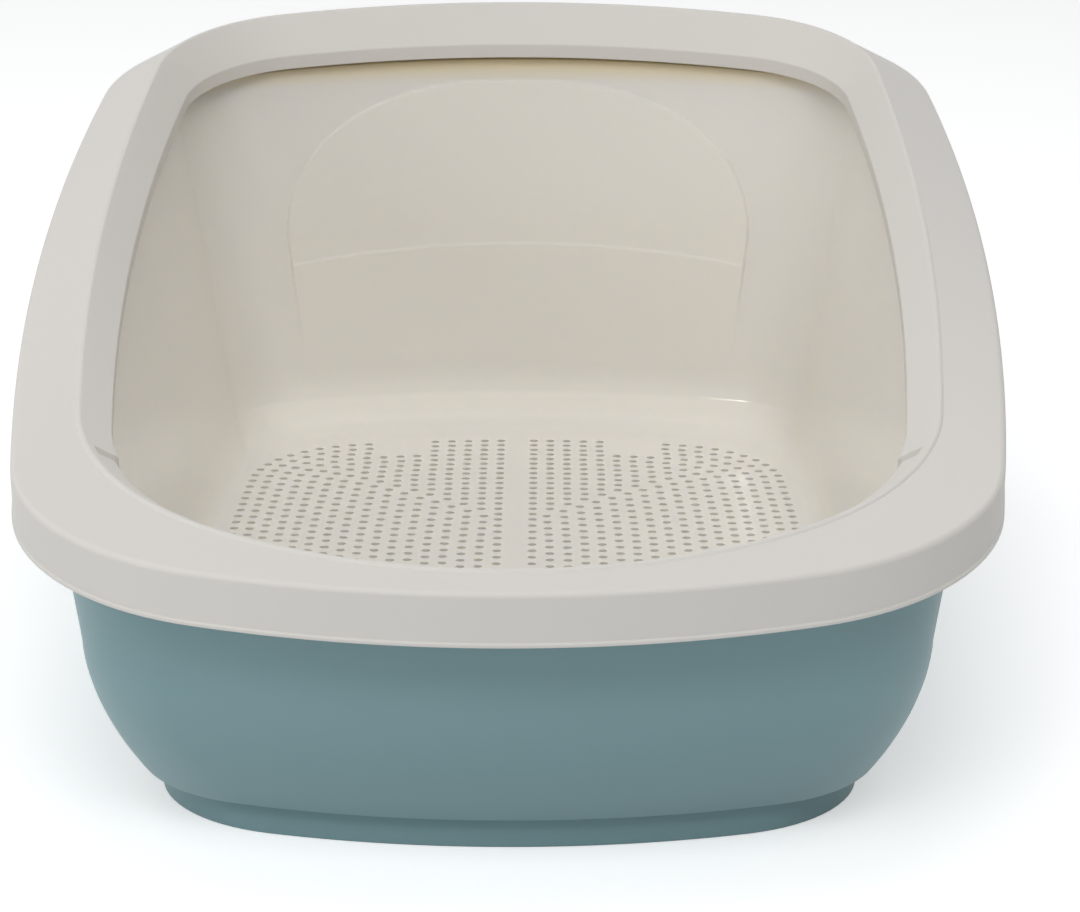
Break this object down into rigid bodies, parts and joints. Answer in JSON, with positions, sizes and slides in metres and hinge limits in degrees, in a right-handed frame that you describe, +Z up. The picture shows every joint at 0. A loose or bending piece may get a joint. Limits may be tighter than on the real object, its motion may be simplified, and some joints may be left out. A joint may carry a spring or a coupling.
{
  "type": "litter tray",
  "caption": "Open sifting litter tray: a base pan, a perforated sieve insert with tall walls, and a rim frame that slopes down to a low entry.",
  "frame": {"origin": "on the floor, under the middle of the tray's outer box", "axes": "+X to the tray's right seen from the low entry, +Y from the low entry to the high back, +Z up"},
  "size_m": [0.3898, 0.59, 0.2202],
  "materials": {
    "teal_plastic": "satin, fine moulded grain",
    "cream_plastic": "glossy",
    "off_white_plastic": "matte, fine grain"
  },
  "bodies": {
    "pan": {"base_pan": "teal_plastic"},
    "sieve": {"sieve_insert": "cream_plastic"},
    "rim": {"rim_frame": "off_white_plastic"}
  },
  "joints": [
    {"name": "sieve_lift", "type": "slide", "parent": "pan", "child": "sieve", "axis": [0, 0, 1], "range_m": [0, 0.22]},
    {"name": "rim_lift", "type": "slide", "parent": "sieve", "child": "rim", "axis": [0, 0, 1], "range_m": [0, 0.12]}
  ]
}
